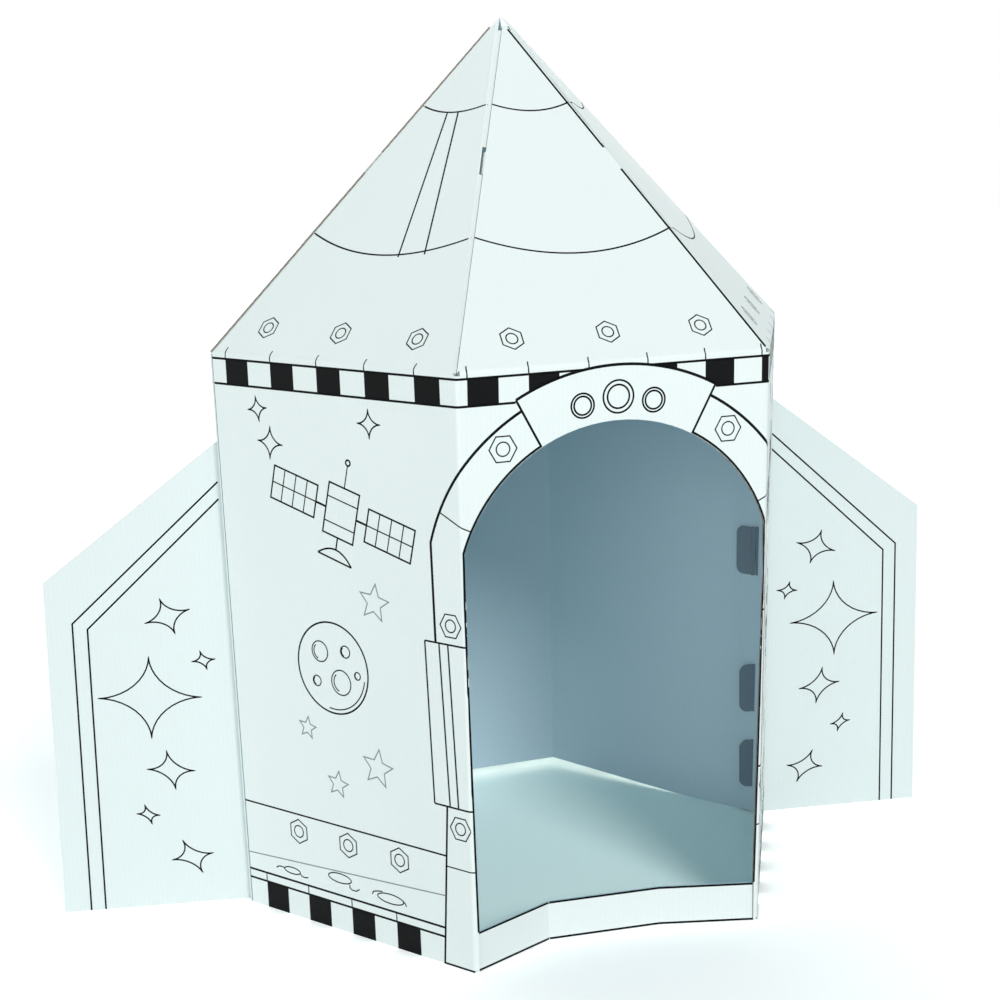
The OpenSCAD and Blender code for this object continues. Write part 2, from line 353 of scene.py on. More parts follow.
@dataclass(frozen=True)
class InkFinish:
    """Flexographic ink: a thin matt film that lets a little of the paper's fibre through."""

    name: str
    hex_colour: str
    worn_hex: str
    fibre_mm: float = 1.6
    roughness: float = 0.6
    gloss: float = 0.1

    def material(self) -> Material:
        """Make the ink's material, with the fibre as a faint unevenness.

        Returns:
            A matt material, a little paler where the fibre lies.
        """
        surface = {"Roughness": self.roughness, "Specular IOR Level": self.gloss}
        mat, shader = new_material(self.name, surface)
        tree = mat.node_tree
        place = add_node(tree, "ShaderNodeTexCoord").outputs["Object"]
        fine = {"Vector": place, "Scale": 1 / (self.fibre_mm * MM), "Detail": 3.0}
        fibre = add_node(tree, "ShaderNodeTexNoise", None, fine).outputs["Fac"]
        inks = {0: fibre, 6: linear(self.hex_colour), 7: linear(self.worn_hex)}
        colour = add_node(tree, "ShaderNodeMix", {"data_type": "RGBA"}, inks).outputs[2]
        tree.links.new(colour, shader.inputs["Base Color"])
        return mat


@dataclass(frozen=True)
class Finishes:
    """Materials shared by all pieces."""

    outer: Material
    fin: Material
    inner: Material
    cut: Material
    shaded: Material
    black: Material
    grey: Material


def spread(start: float, end: float, pieces: int) -> list[float]:
    """Give the ends of equal pieces from start to end."""
    return [start + (end - start) * k / pieces for k in range(pieces + 1)]


@dataclass(frozen=True)
class Row:
    """Places at an even pitch, in millimetres."""

    first: float
    pitch: float
    count: int

    def places(self, start: float = 0.0) -> list[float]:
        """Give the places, the first one measured from a start."""
        return [start + self.first + self.pitch * k for k in range(self.count)]


def polar(centre: Point, radius: float, degrees: float) -> Point:
    """Give a point at a radius and an angle from straight up, clockwise."""
    angle = math.radians(degrees)
    return (centre[0] + radius * math.sin(angle), centre[1] + radius * math.cos(angle))


def arc(centre: Point, radius: float, start: float, end: float) -> list[Point]:
    """Give points along an arc, about one every 2 degrees.

    Args:
        centre: Centre of the circle.
        radius: Radius of the arc.
        start: First angle from straight up, in degrees.
        end: Last angle from straight up, in degrees.

    Returns:
        Points from start to end.
    """
    pieces = max(6, int(abs(end - start) / 2.0))
    return [polar(centre, radius, angle) for angle in spread(start, end, pieces)]


def turned(points: Sequence[Point], centre: Point, degrees: float) -> list[Point]:
    """Turn points anticlockwise about the origin and move them to a centre.

    Args:
        points: Points around the origin.
        centre: Where the origin goes.
        degrees: Angle of the turn.

    Returns:
        The placed points.
    """
    c, s = math.cos(math.radians(degrees)), math.sin(math.radians(degrees))
    return [(centre[0] + c * x - s * y, centre[1] + s * x + c * y) for x, y in points]


def flat_on(frame: Matrix, depth: float = 0.0) -> Placing:
    """Give the way from a drawing in millimetres to a plane at a depth behind a frame."""
    return lambda x, y: frame @ Vector((x * MM, y * MM, -depth))


def add_object(name: str, bm: BMesh, finishes: Sequence[Material]) -> Object:
    """Make a finished shape an object of the scene, and report it.

    Args:
        name: Name of the object.
        bm: Its shape, which is used up.
        finishes: Its materials, in the order of their slots.

    Returns:
        The object.
    """
    mesh = bpy.data.meshes.new(name)
    bm.to_mesh(mesh)
    bm.free()
    for finish in finishes:
        mesh.materials.append(finish)
    made = bpy.data.objects.new(name, mesh)
    bpy.context.scene.collection.objects.link(made)
    LOG.info("%s: %d faces", name, len(mesh.polygons))
    return made


class PrintSheet:
    """A line drawing in millimetres, flat until it is laid on the board.

    The bore, a star's hollow, the mitre and a sparkle's pen are shares. A sparkle's hollow is a power.
    """

    STEP = 8.0
    ENDS = (0.8, 1.7, 2.6, 3.6, 5.0)
    MITRE = 0.4
    JOIN = 1e-4
    TINY = 1e-6
    NUT_BORE = 0.5
    SPARKLE_STEPS = 14
    SPARKLE_HOLLOW = 3.4
    SPARKLE_PEN = 0.85
    STAR_HOLLOW = 0.46

    def __init__(self) -> None:
        """Start an empty drawing."""
        self.bm = bmesh.new()

    def course(self, points: Sequence[Point], closed: bool) -> list[Vector]:
        """Divide a line into short pieces.

        Args:
            points: The line's corners.
            closed: Whether the line comes back to its first point.

        Returns:
            Points along the line.
        """
        corners = [Vector(p) for p in points]
        if closed:
            corners.append(corners[0].copy())
        course = [corners[0]]
        for start, end in zip(corners, corners[1:]):
            length = (end - start).length
            pieces = max(1, math.ceil(length / self.STEP))
            stops = {k / pieces for k in range(1, pieces + 1)}
            if length > 2 * self.STEP:
                # Short pieces at both ends follow the round of a fold.
                stops |= {d / length for d in self.ENDS} | {1 - d / length for d in self.ENDS}
            course += [start.lerp(end, t) for t in sorted(stops)]
        return course

    def stroke(self, points: Sequence[Point], width: float = Pen.LINE, closed: bool = False) -> None:
        """Draw a line of even width along points.

        Args:
            points: The line's corners.
            width: Width of the line.
            closed: Whether the line comes back to its first point.
        """
        course = self.course(points, closed)
        last = len(course) - 1
        sides: list[Vector] = []
        for k, here in enumerate(course):
            before = course[last - 1] if closed and k == 0 else course[max(k - 1, 0)]
            after = course[1] if closed and k == last else course[min(k + 1, last)]
            into = (here - before).normalized() if k or closed else Vector((0, 0))
            out = (after - here).normalized() if k < last or closed else Vector((0, 0))
            along = into + out
            along = along.normalized() if along.length > self.TINY else out
            lead = out if out.length else into
            sharp = max(along.dot(lead), self.MITRE)
            sides.append(Vector((-along.y, along.x)) * (width / 2 / sharp))
        strip = bmesh.ops.create_grid(self.bm, x_segments=last, y_segments=1, size=0.5)["verts"]
        for vert in strip:
            k = round((vert.co.x + 0.5) * last)
            place = course[k] + sides[k] * (1 if vert.co.y > 0 else -1)
            vert.co = (place.x, place.y, 0)
        if closed:
            bmesh.ops.remove_doubles(self.bm, verts=strip, dist=self.JOIN)

    def outline(self, points: Sequence[Point], width: float = Pen.LINE) -> None:
        """Draw a closed outline with its width on the inside.

        Args:
            points: The outline.
            width: Width of the line.
        """
        count = len(points)
        ring = bmesh.ops.create_circle(self.bm, cap_ends=True, segments=count, radius=1.0)["verts"]
        for vert, point in zip(ring, points):
            vert.co = (*point, 0)
        faces = list({f for v in ring for f in v.link_faces})
        bmesh.ops.recalc_face_normals(self.bm, faces=faces)
        bmesh.ops.inset_region(
            self.bm, faces=faces, thickness=width, use_even_offset=True, use_boundary=True
        )
        bmesh.ops.delete(self.bm, geom=faces, context="FACES")

    def between(self, start: float, end: float, lower: Curve, upper: Curve, steps: int) -> None:
        """Fill the space between two curves.

        Args:
            start: Where the space begins.
            end: Where it ends.
            lower: Height of the lower curve.
            upper: Height of the upper curve.
            steps: Number of stretches.
        """
        strip = bmesh.ops.create_grid(self.bm, x_segments=steps, y_segments=1, size=0.5)["verts"]
        for vert in strip:
            x = start + (end - start) * (vert.co.x + 0.5)
            vert.co = (x, (upper if vert.co.y > 0 else lower)(x), 0)

    def ring(self, centre: Point, radius: float, width: float = Pen.LINE) -> None:
        """Draw a circle of a given outer radius."""
        self.outline(arc(centre, radius, 360, 0)[:-1], width)

    def oval(self, centre: Point, size: Point) -> None:
        """Draw a level ellipse of half a length and half a width."""
        unit = arc((0, 0), 1.0, 360, 0)[:-1]
        self.outline([(centre[0] + size[0] * x, centre[1] + size[1] * y) for x, y in unit], Pen.FINE)

    def nut(self, centre: Point, radius: float, tilt: float = 90.0) -> None:
        """Draw a hexagon nut with its bore.

        Args:
            centre: Its middle.
            radius: Distance from the middle to a corner.
            tilt: Angle of a corner from straight up.
        """
        self.outline([polar(centre, radius, tilt - 60 * k) for k in range(6)], Pen.FINE)
        self.ring(centre, radius * self.NUT_BORE, Pen.FINE)

    def sparkle(self, centre: Point, size: Point, tilts: Point) -> None:
        """Draw a four-pointed star with hollow sides.

        Args:
            centre: Its middle.
            size: Half its height and half its width.
            tilts: Angles of its level and its upright axis, anticlockwise.
        """
        across = Vector(turned([(size[1], 0)], (0, 0), tilts[0])[0])
        upright = Vector(turned([(0, size[0])], (0, 0), tilts[1])[0])
        points: list[Point] = []
        for k in range(4 * self.SPARKLE_STEPS):
            t = math.pi / 2 * k / self.SPARKLE_STEPS
            c, s = math.cos(t), math.sin(t)
            spot = across * math.copysign(abs(c) ** self.SPARKLE_HOLLOW, c)
            spot += upright * math.copysign(abs(s) ** self.SPARKLE_HOLLOW, s)
            points.append((centre[0] + spot.x, centre[1] + spot.y))
        self.stroke(points, Pen.LINE * self.SPARKLE_PEN, closed=True)

    def five_star(self, centre: Point, radius: float, tilt: float) -> None:
        """Draw a five-pointed star.

        Args:
            centre: Its middle.
            radius: Distance from the middle to a tip.
            tilt: Angle of its first tip from the vertical.
        """
        radii = (radius, radius * self.STAR_HOLLOW)
        self.outline([polar(centre, radii[k % 2], tilt - 36 * k) for k in range(10)], Pen.FINE)

    def divide(self, at: Point, facing: Vector, cut_off: bool = False) -> None:
        """Divide the drawing along a line, so that it can bend there.

        Args:
            at: A point on the line.
            facing: Direction across the line.
            cut_off: Whether all that lies on the facing side goes.
        """
        bmesh.ops.bisect_plane(
            self.bm,
            geom=self.bm.verts[:] + self.bm.edges[:] + self.bm.faces[:],
            plane_co=(*at, 0),
            plane_no=(*facing, 0),
            clear_outer=cut_off,
        )

    def copy(self) -> "PrintSheet":
        """Copy the drawing.

        Returns:
            A second drawing like this one.
        """
        twin = PrintSheet()
        twin.bm.free()
        twin.bm = self.bm.copy()
        return twin

    def mirrored(self) -> "PrintSheet":
        """Mirror the drawing, left for right.

        Returns:
            The mirror image.
        """
        twin = self.copy()
        bmesh.ops.scale(twin.bm, vec=(-1, 1, 1), verts=twin.bm.verts[:])
        return twin


class InkFilm:
    """All print of one colour on one sheet of board: a thin film, partly sunk into the liner."""

    ABOVE = 0.14 * MM
    BELOW = 0.10 * MM
    NEAR = 4 * MM

    def __init__(self, name: str, board: BVHTree) -> None:
        """Start an empty film.

        Args:
            name: Name of the piece.
            board: Surface of the sheet it lies on.
        """
        self.name = name
        self.board = board
        self.bm = bmesh.new()

    def settle(self, point: Vector, lift: float) -> Vector:
        """Give the place on the board nearest to a point, a little above or below the surface.

        Args:
            point: A point close to the board.
            lift: Height above the surface.

        Returns:
            The settled point, or the point itself where no board is near.
        """
        found, normal, _, gap = self.board.find_nearest(point)
        if found is None or gap > self.NEAR:
            return point
        return found + normal * lift

    def lay(self, sheet: PrintSheet, place: Placing) -> None:
        """Lay a drawing on the board and give it its thickness.

        Args:
            sheet: The drawing.
            place: Gives the point in space for a point of the drawing in millimetres.
        """
        bm = sheet.bm.copy()
        for vert in bm.verts:
            vert.co = place(vert.co.x, vert.co.y)
        upper = bm.verts[:]
        made = bmesh.ops.extrude_face_region(bm, geom=bm.faces[:])["geom"]
        lower = [g for g in made if isinstance(g, BMVert)]
        for verts, lift in ((upper, self.ABOVE), (lower, -self.BELOW)):
            for vert in verts:
                vert.co = self.settle(vert.co, lift)
        bmesh.ops.dissolve_degenerate(bm, dist=SLIVER, edges=bm.edges[:])
        bmesh.ops.recalc_face_normals(bm, faces=bm.faces[:])
        laid = bpy.data.meshes.new("laid")
        bm.to_mesh(laid)
        bm.free()
        self.bm.from_mesh(laid)
        bpy.data.meshes.remove(laid)

    def finish(self, ink: Material) -> None:
        """Make the film a piece of the house."""
        piece = add_object(self.name, self.bm, [ink])
        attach(piece, BODY)


@dataclass
class FoldedSheet:
    """A sheet of board cut, creased and folded: a dressed copy of its solid."""

    node: str
    slot: str
    form: HouseForm
    finishes: Finishes
    fold_mm: float = 3.4
    inner_fold_mm: float = 1.6
    fold_segments: int = 4
    fold_angles: Point = (15.0, 75.0)
    min_fold_mm: float = 40.0
    cut_width_mm: float = 3.3
    flat_angle: float = 0.6
    eave_round_mm: float = 2.0
    notch_mm: Point = (5.0, 3.7)

    @property
    def face(self) -> Material:
        """Finish of the sheet's printed face."""
        return self.finishes.outer

    def frame_of(self, point: Vector) -> Matrix:
        """Give the frame of the panel that a point lies on.

        Args:
            point: A point on the sheet.

        Returns:
            The frame of that panel's outer face.
        """
        around = math.degrees(math.atan2(point.y, point.x)) + 90
        panel = round(around / PANEL_TURN) % PANELS
        if point.z > self.form.wall_h + self.eave_round_mm * MM:
            return self.form.roof_frame(panel)
        return self.form.wall_frame(panel)

    def is_cut(self, face: BMFace) -> bool:
        """Tell whether a face is a cut edge: no wider than the board is thick."""
        longest = max(e.calc_length() for e in face.edges)
        return face.calc_area() / longest < self.cut_width_mm * MM

    def mark(self, bm: BMesh) -> None:
        """Mark each face as a liner or a cut edge.

        Args:
            bm: The merged sheet, before its folds are rounded.
        """
        for face in bm.faces:
            frame = self.frame_of(face.calc_center_median())
            outwards = face.normal.dot(frame.col[2].to_3d())
            side = Liner.OUTER if outwards > 0 else Liner.INNER
            face.material_index = Liner.CUT if self.is_cut(face) else side

    def is_fold(self, edge: BMEdge) -> bool:
        """Tell whether an edge is a fold between two liners.

        Args:
            edge: An edge of the sheet, its faces already marked.

        Returns:
            Whether the edge is long enough and bent like a fold.
        """
        if len(edge.link_faces) != 2 or edge.calc_length() < self.min_fold_mm * MM:
            return False
        if any(f.material_index == Liner.CUT for f in edge.link_faces):
            return False
        return self.fold_angles[0] < math.degrees(edge.calc_face_angle()) < self.fold_angles[1]

    def soften(self, bm: BMesh) -> None:
        """Round the folds, wider outside than inside.

        Args:
            bm: The merged sheet, its cut edges already marked.
        """
        for convex, width in ((True, self.fold_mm), (False, self.inner_fold_mm)):
            bmesh.ops.bevel(
                bm,
                geom=[e for e in bm.edges if self.is_fold(e) and e.is_convex is convex],
                offset=width * MM,
                offset_type="OFFSET",
                affect="EDGES",
                segments=self.fold_segments,
                profile=0.5,
                material=-1,
                clamp_overlap=False,
            )

    def clear_notches(self, bm: BMesh) -> None:
        """Pull fold ends that the bevel pushed into an eave notch back to the notch's side.

        Args:
            bm: The sheet with its rounded folds.
        """
        top, half = self.form.wall_h, self.form.side / 2
        edge, low = half - self.notch_mm[0] * MM, top - self.notch_mm[1] * MM
        for panel in range(PANELS):
            frame = self.form.wall_frame(panel)
            back = frame.inverted()
            for vert in bm.verts:
                x, y, z = back @ vert.co
                if edge < abs(x) < half and low < y < top and abs(z) < MERGE:
                    vert.co = frame @ Vector((math.copysign(edge, x), y, z))

    def map_sheet(self, bm: BMesh) -> None:
        """Write the place across the flutes, and along them or through a cut edge, into the UV map.

        Args:
            bm: The finished sheet.
        """
        layer = bm.loops.layers.uv.new(UV_NAME)
        for face in bm.faces:
            frame = self.frame_of(face.calc_center_median()).inverted()
            spots = [frame @ loop.vert.co for loop in face.loops]
            top = max(p.z for p in spots)
            for loop, spot in zip(face.loops, spots):
                if face.material_index == Liner.CUT:
                    loop[layer].uv = (spot.x, (top - spot.z) / self.form.board)
                else:
                    loop[layer].uv = (spot.x, spot.y)

    def dress(self, solid: Object) -> BVHTree:
        """Make the sheet's piece from a copy of its solid.

        Args:
            solid: The solid from the frame.

        Returns:
            The piece's surface, for the print to lie on.
        """
        bm = bmesh.new()
        bm.from_mesh(solid.data)
        bmesh.ops.remove_doubles(bm, verts=bm.verts[:], dist=MERGE)
        flat = math.radians(self.flat_angle)
        bmesh.ops.dissolve_limit(bm, angle_limit=flat, verts=bm.verts[:], edges=bm.edges[:])
        bm.normal_update()
        self.mark(bm)
        self.soften(bm)
        self.clear_notches(bm)
        self.map_sheet(bm)
        bmesh.ops.triangulate(bm, faces=bm.faces[:], ngon_method="BEAUTY")
        bmesh.ops.dissolve_degenerate(bm, dist=SLIVER, edges=bm.edges[:])
        surface = BVHTree.FromBMesh(bm)
        # Inside faces take the blue-tinted liner, painted shade of the interior; fin tabs inside a wall
        # take a painted dark shade.
        finishes = [self.face, self.finishes.inner, self.finishes.cut, self.finishes.shaded]
        piece = add_object(self.node + "_board", bm, finishes)
        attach(piece, BODY)
        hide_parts(self.node)
        return surface

    def print_all(self, surface: BVHTree) -> None:
        """Print the sheet, which each kind of sheet does in its own way."""
        raise NotImplementedError

    def on_wall(self, panel: int, shift: int = 0) -> Placing:
        """Give the way from a drawing to a wall.

        Args:
            panel: Number of the panel.
            shift: How many walls the drawing's own panel lies to the right of this one.

        Returns:
            A function from millimetres along and up the wall to a point in space.
        """
        flat = flat_on(self.form.wall_frame(panel))
        return lambda x, y: flat(x + shift * 2 * self.form.half_mm(y), y)

    def on_roof(self, panel: int) -> Placing:
        """Give the way from a drawing to a roof triangle."""
        return flat_on(self.form.roof_frame(panel))


@dataclass
class WallBands:
    """Checked bands at the eaves and the foot of a wall, in millimetres."""

    eaves_z: float = 787.0
    eave_top: float = 779.0
    eave_bottom: float = 745.0
    square: float = 41.0
    eave_row: Row = Row(29.6, 83.0, 5)
    square_steps: int = 12
    least_height: float = 0.5
    line_steps: int = 6
    tick_row: Row = Row(0.0, 0.6, 8)
    tick_tip: Point = (1.0, 9.0)
    floor_gap: float = 0.4
    foot_steps: int = 8
    foot_top: float = 38.6
    foot_line: float = 51.5
    base_line: float = 153.0
    nut_z: float = 128.0
    nut_r: float = 18.5

    def starts(self, form: HouseForm) -> list[float]:
        """Left ends of the black squares under the eaves of a wall without a doorway."""
        return self.eave_row.places(-form.eave_mm)

    def eaves(
        self, sheet: PrintSheet, starts: Sequence[float], half: float, cover: Curve = lambda x: 0.0
    ) -> None:
        """Draw the checked band under the eaves.

        Args:
            sheet: The wall's drawing.
            starts: Left ends of the black squares.
            half: Half the width of the wall there.
            cover: Height up to which something else covers the band.
        """
        top = self.eave_top - self.least_height
        for start in starts:
            end = min(start + self.square, half)
            seen = [x for x in spread(start, end, self.square_steps) if cover(x) < top]
            if len(seen) > 1:
                sheet.between(
                    seen[0],
                    seen[-1],
                    lambda x: max(self.eave_bottom, cover(x)),
                    lambda x: self.eave_top,
                    len(seen) - 1,
                )
            foot = max(self.eave_top, min(cover(start), self.eaves_z))
            sheet.stroke([(start, z) for z in spread(foot, self.eaves_z, self.line_steps)], Pen.FINE)
        for height in (self.eave_bottom, self.eave_top):
            reach = max(x for x in range(-int(half), 1) if cover(x) < height)
            if reach == 0:
                sheet.stroke([(-half, height), (half, height)], Pen.BOLD)
                continue
            for hand in Hand:
                sheet.stroke([(hand * half, height), (-hand * reach, height)], Pen.BOLD)

    def ticks(self, sheet: PrintSheet, starts: Sequence[float]) -> None:
        """Draw the ends of the squares' edge lines that run over the eaves.

        Args:
            sheet: The roof triangle's drawing.
            starts: Left ends of the black squares.
        """
        for start in starts:
            rise = [(start, up) for up in self.tick_row.places()]
            sheet.stroke([*rise, (start + self.tick_tip[0], self.tick_tip[1])], Pen.FINE)

    def foot(
        self,
        sheet: PrintSheet,
        starts: Sequence[float],
        ends: tuple[float, Curve],
        raised: Curve = lambda x: 0.0,
    ) -> None:
        """Draw the checked band at the foot and its lines.

        Args:
            sheet: The wall's drawing.
            starts: Left ends of the black squares.
            ends: Left end of the lines, and right end of a line at a height.
            raised: Height of the wall's foot over the floor along the wall.
        """
        start, end = ends
        for left in starts:
            sheet.between(
                left,
                left + self.square,
                lambda x: raised(x) + self.floor_gap,
                lambda x: self.foot_top,
                self.foot_steps,
            )
            sheet.stroke([(left, self.foot_top), (left, self.foot_line)], Pen.FINE)
        pens = {self.foot_top: Pen.BOLD, self.foot_line: Pen.BOLD, self.base_line: Pen.LINE}
        for height, pen in pens.items():
            sheet.stroke([(start, height), (end(height), height)], pen)


@dataclass
class DoorwayPrint:
    """Arch ring, keystone and jamb plates printed around the doorway, in millimetres and degrees."""

    form: HouseForm
    spring_z: float = 492.6
    opening_r: float = 220.0
    arch_gap: float = 1.4
    jamb_gap: float = 1.2
    ring_r: float = 274.0
    key_r: float = 290.0
    key_angle: float = 28.3
    joint_angle: float = 64.5
    ring_end: float = 73.7
    ring_foot: float = 259.2
    nut_angle: float = 38.5
    nut_ring: float = 250.0
    arch_nut_r: float = 19.5
    # Middle, and outer and inner radius.
    key_rings: tuple[tuple[Point, Point], ...] = (
        ((-48.0, 734.0), (16.7, 12.9)),
        ((1.0, 742.0), (22.0, 16.2)),
        ((50.0, 734.0), (16.7, 12.9)),
    )
    half_top: float = 209.0
    half_foot: float = 198.0
    plate_top: float = 440.0
    plate_foot: float = 222.0
    # Distances of the upper plate's lines from the corner fold, at its top and at its foot.
    plate_lines: tuple[Point, ...] = ((66.0, 59.0), (42.5, 33.0), (28.0, 19.0))
    # Distance of the lower plate's outer line from the fold at the floor, and how much less at the top.
    low_plate: Point = (51.0, 13.0)
    low_line: float = 1.3
    low_joint: float = 139.0
    joint_gap: float = 0.3
    # Distance from the fold, and height.
    jamb_nuts: tuple[Point, ...] = ((22.5, 465.0), (17.0, 195.0))
    jamb_nut_r: float = 18.0
    sill_top: float = 56.0
    sill_lines: Point = (1.4, 52.6)
    sill_gap: float = 1.5
    sill_crease: float = 78.0
    # How far the left and the right crease lie inside the wall.
    sill_depths: Point = (58.0, 42.0)

    def cover(self, x: float) -> float:
        """Give the height of the ring's or keystone's upper edge.

        Args:
            x: Distance from the middle of the doorway.

        Returns:
            The height, or 0 beside the ring.
        """
        key_edge = self.key_r * math.sin(math.radians(self.key_angle))
        radius = self.key_r if abs(x) < key_edge else self.ring_r
        return self.spring_z + math.sqrt(radius**2 - x * x) if abs(x) < radius else 0.0

    def jamb_x(self, z: float) -> float:
        """Half the width of the opening at a height below the arch."""
        share = min(z / self.spring_z, 1.0)
        return self.half_foot + (self.half_top - self.half_foot) * share

    def plate_edge(self, z: float) -> float:
        """Distance of the lower plate's outer line from the corner fold."""
        return self.low_plate[0] - self.low_plate[1] * z / self.plate_foot

    def beside(self, hand: Hand, spot: Point) -> Point:
        """Give the place of a spot that is measured outwards from a corner fold."""
        return (hand * (self.form.half_mm(spot[1]) + spot[0]), spot[1])

    def arch(self, sheet: PrintSheet) -> None:
        """Draw the ring around the arch.

        Args:
            sheet: Drawing of the front walls, unfolded, from the middle of the doorway.
        """
        middle = (0.0, self.spring_z)
        spring = math.degrees(math.asin(self.half_top / self.opening_r))
        sheet.stroke(arc(middle, self.key_r, -self.key_angle, self.key_angle), Pen.HEAVY)
        for hand in Hand:
            key = hand * self.key_angle
            edge = arc(middle, self.opening_r + self.arch_gap, key, hand * spring)
            heights = (self.spring_z, self.sill_top)
            edge += [(hand * (self.jamb_x(z) + self.jamb_gap), z) for z in heights]
            sheet.stroke(edge, Pen.BOLD)
            ring = arc(middle, self.ring_r, key, hand * self.ring_end)
            sheet.stroke([*ring, (hand * self.ring_foot, self.plate_top)], Pen.HEAVY)
            for angle, outer, pen in (
                (key, self.key_r, Pen.BOLD),
                (hand * self.joint_angle, self.ring_r, Pen.FINE),
            ):
                sheet.stroke([polar(middle, r, angle) for r in (self.opening_r, outer)], pen)
            sheet.nut(polar(middle, self.nut_ring, hand * self.nut_angle), self.arch_nut_r)
        for centre, radii in self.key_rings:
            for radius in radii:
                sheet.ring(centre, radius)

    def jambs(self, sheet: PrintSheet) -> None:
        """Draw the plates and nuts beside the doorway.

        Args:
            sheet: Drawing of the front walls, unfolded, from the middle of the doorway.
        """
        top, foot = self.plate_top, self.plate_foot
        low = [(self.plate_edge(z), z) for z in (foot, 0)]
        lines = [([(a, top), (b, foot)], Pen.LINE) for a, b in self.plate_lines]
        lines += [(low, Pen.BOLD), ([(low[1][0], self.low_line), (0, self.low_line)], Pen.BOLD)]
        wide = self.plate_lines[0]
        joint = (self.plate_edge(self.low_joint), self.low_joint)
        ends = (((wide[0], top), Pen.LINE), ((wide[1], foot), Pen.LINE), (joint, Pen.FINE))
        for hand in Hand:
            for line, pen in lines:
                sheet.stroke([self.beside(hand, spot) for spot in line], pen)
            for spot, pen in ends:
                inner = hand * (self.jamb_x(spot[1]) + self.joint_gap)
                sheet.stroke([self.beside(hand, spot), (inner, spot[1])], pen)
            for spot in self.jamb_nuts:
                sheet.nut(self.beside(hand, spot), self.jamb_nut_r)

    def sill(self) -> PrintSheet:
        """Draw the lines along the sill's edges.

        Returns:
            The drawing, by the distance from the middle of the doorway and the height.
        """
        sheet = PrintSheet()
        foot, crease = self.form.half_mm(0) - self.sill_gap, self.sill_crease
        for z in self.sill_lines:
            sheet.stroke([(x, z) for x in (-foot, -crease, crease, foot)], Pen.BOLD)
        return sheet

    def on_sill(self) -> Placing:
        """Give the way from a drawing to the creased sill.

        Returns:
            A function from millimetres along and up the sill to a point in space.
        """
        foot, crease = self.form.half_mm(0), self.sill_crease
        left, right = self.sill_depths
        turns = [(-foot, 0.0), (-crease, left), (crease, right), (foot, 0.0)]
        front = -self.form.apothem * self.form.base_taper

        def place(x: float, y: float) -> Vector:
            """Lay one point on the sill.

            Args:
                x: Distance from the middle of the doorway.
                y: Height.

            Returns:
                The point in space.
            """
            for (x0, in0), (x1, in1) in zip(turns, turns[1:]):
                if x <= x1:
                    break
            depth = in0 + (in1 - in0) * (x - x0) / (x1 - x0)
            return Vector((x * MM, front + depth * MM, y * MM))

        return place


@dataclass
class RoofPrint:
    """Nuts and seam lines printed on a roof triangle, in millimetres up the slope."""

    form: HouseForm
    nut_x: Triple = (-130.0, 0.0, 130.0)
    nut_up: float = 44.0
    nut_r: float = 17.0
    # Distance up the slope at the ridges, and how far the middle hangs below.
    seams: tuple[Point, ...] = ((200.0, 33.0), (416.0, 14.0))
    seam_gap: float = 1.5
    seam_steps: int = 28
    edge_runs: tuple[Point, ...] = ((4.0, 299.0), (336.0, 545.0))
    # Distance of the edge line from the ridge at the eaves, and how much more at the tip.
    edge_insets: Point = (3.0, 5.5)
    stripe_lines: tuple[tuple[Point, Point], ...] = (((-5, 402), (33, 165)), ((13, 404), (75, 171)))

    def half(self, up: float) -> float:
        """Half the width of the triangle at a distance up the slope."""
        return self.form.eave_mm * (1 - up / self.form.slant_mm)

    def draw(self) -> PrintSheet:
        """Draw a triangle's nuts, and its seams that hang between the ridges.

        Returns:
            The drawing, from the middle of the eaves.
        """
        sheet = PrintSheet()
        for x in self.nut_x:
            sheet.nut((x, self.nut_up), self.nut_r, 0.0)
        for end, sag in self.seams:
            half = self.half(end) - self.seam_gap
            sheet.stroke([(half * t, end - sag * (1 - t * t)) for t in spread(-1, 1, self.seam_steps)])
        return sheet

    def right_edge(self, sheet: PrintSheet) -> None:
        """Draw the line along the right cut edge, broken at the ridge tab.

        Args:
            sheet: The triangle's drawing.
        """
        near, more = self.edge_insets
        for run in self.edge_runs:
            course = [(self.half(up) - (near + more * up / self.form.slant_mm), up) for up in run]
            sheet.stroke(course, Pen.BOLD)

    def stripe(self, sheet: PrintSheet) -> None:
        """Draw the pair of lines between the seams."""
        for line in self.stripe_lines:
            sheet.stroke(line)


